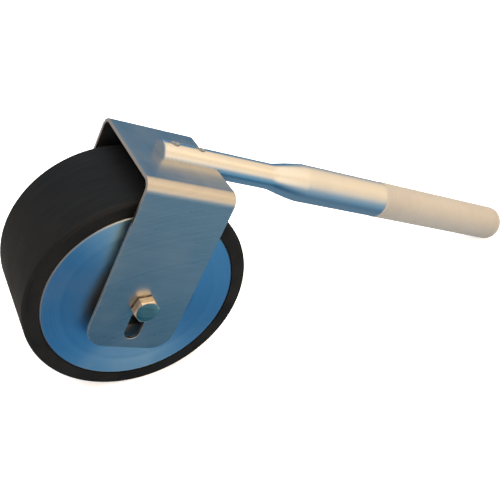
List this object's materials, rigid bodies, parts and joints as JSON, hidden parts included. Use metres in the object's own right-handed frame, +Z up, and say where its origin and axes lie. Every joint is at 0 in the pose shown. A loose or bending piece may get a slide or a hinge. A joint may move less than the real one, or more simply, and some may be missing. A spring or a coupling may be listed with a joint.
{
  "type": "hand pressure roller",
  "caption": "Hand pressure roller: a heavy rubber-covered steel wheel on a floating axle in a slotted sheet-metal yoke, with a turned aluminium handle.",
  "frame": {"origin": "centre of the wheel and of its axle, with the axle at the top of the slots", "axes": "+Z up with the wheel and the end of the handle resting on a level surface, +X towards the end of the handle, +Y along the axle"},
  "size_m": [0.2575, 0.0632, 0.106],
  "materials": {
    "yoke_sheet": "brushed sheet, broken edges",
    "handle_bar": "fine turned barrel, matte knurled grip",
    "cover_rubber": "matte, ground round the tread",
    "core_steel": "faced in fine rings",
    "bolt_plate": "bright plated",
    "shaft_steel": "ground",
    "screw_steel": "plain steel",
    "spring_steel": "black oxide",
    "bearing_steel": "ground and polished",
    "cage_steel": "pressed sheet"
  },
  "bodies": {
    "root": {"yoke": "yoke_sheet", "handle": "handle_bar", "handle_screws": "screw_steel", "handle_lock_washers": "screw_steel"},
    "axle": {"axle_shaft": "shaft_steel", "bearing_spacer": "shaft_steel", "spacer_washer_front": "shaft_steel", "spacer_washer_rear": "shaft_steel", "axle_bolt_front": "bolt_plate", "axle_bolt_rear": "bolt_plate", "shaft_ring_front": "spring_steel", "shaft_ring_rear": "spring_steel", "bearing_front_inner_ring": "bearing_steel", "bearing_rear_inner_ring": "bearing_steel"},
    "roller": {"roller_core": "core_steel", "rubber_cover": "cover_rubber", "core_ring_front": "spring_steel", "core_ring_rear": "spring_steel", "bearing_front_outer_ring": "bearing_steel", "bearing_rear_outer_ring": "bearing_steel", "bearing_front_shields": "bearing_steel", "bearing_rear_shields": "bearing_steel"},
    "cage_front": {"bearing_front_cage": "cage_steel", "bearing_front_balls": "bearing_steel"},
    "cage_rear": {"bearing_rear_cage": "cage_steel", "bearing_rear_balls": "bearing_steel"}
  },
  "joints": [
    {"name": "axle_float", "type": "slide", "parent": "root", "child": "axle", "axis": [-0.4448, 0, -0.8956], "range_m": [0, 0.014]},
    {"name": "roller_spin", "type": "hinge", "parent": "axle", "child": "roller", "pos_m": [0, 0, 0], "axis": [0, 1, 0], "continuous": true},
    {"name": "cage_front_spin", "type": "hinge", "parent": "axle", "child": "cage_front", "pos_m": [0, -0.01572, 0], "axis": [0, 1, 0], "continuous": true},
    {"name": "cage_rear_spin", "type": "hinge", "parent": "axle", "child": "cage_rear", "pos_m": [0, 0.01572, 0], "axis": [0, 1, 0], "continuous": true}
  ],
  "couplings": [
    {"joint": "cage_front_spin", "follows": "roller_spin", "ratio": 0.619},
    {"joint": "cage_rear_spin", "follows": "roller_spin", "ratio": 0.619}
  ]
}
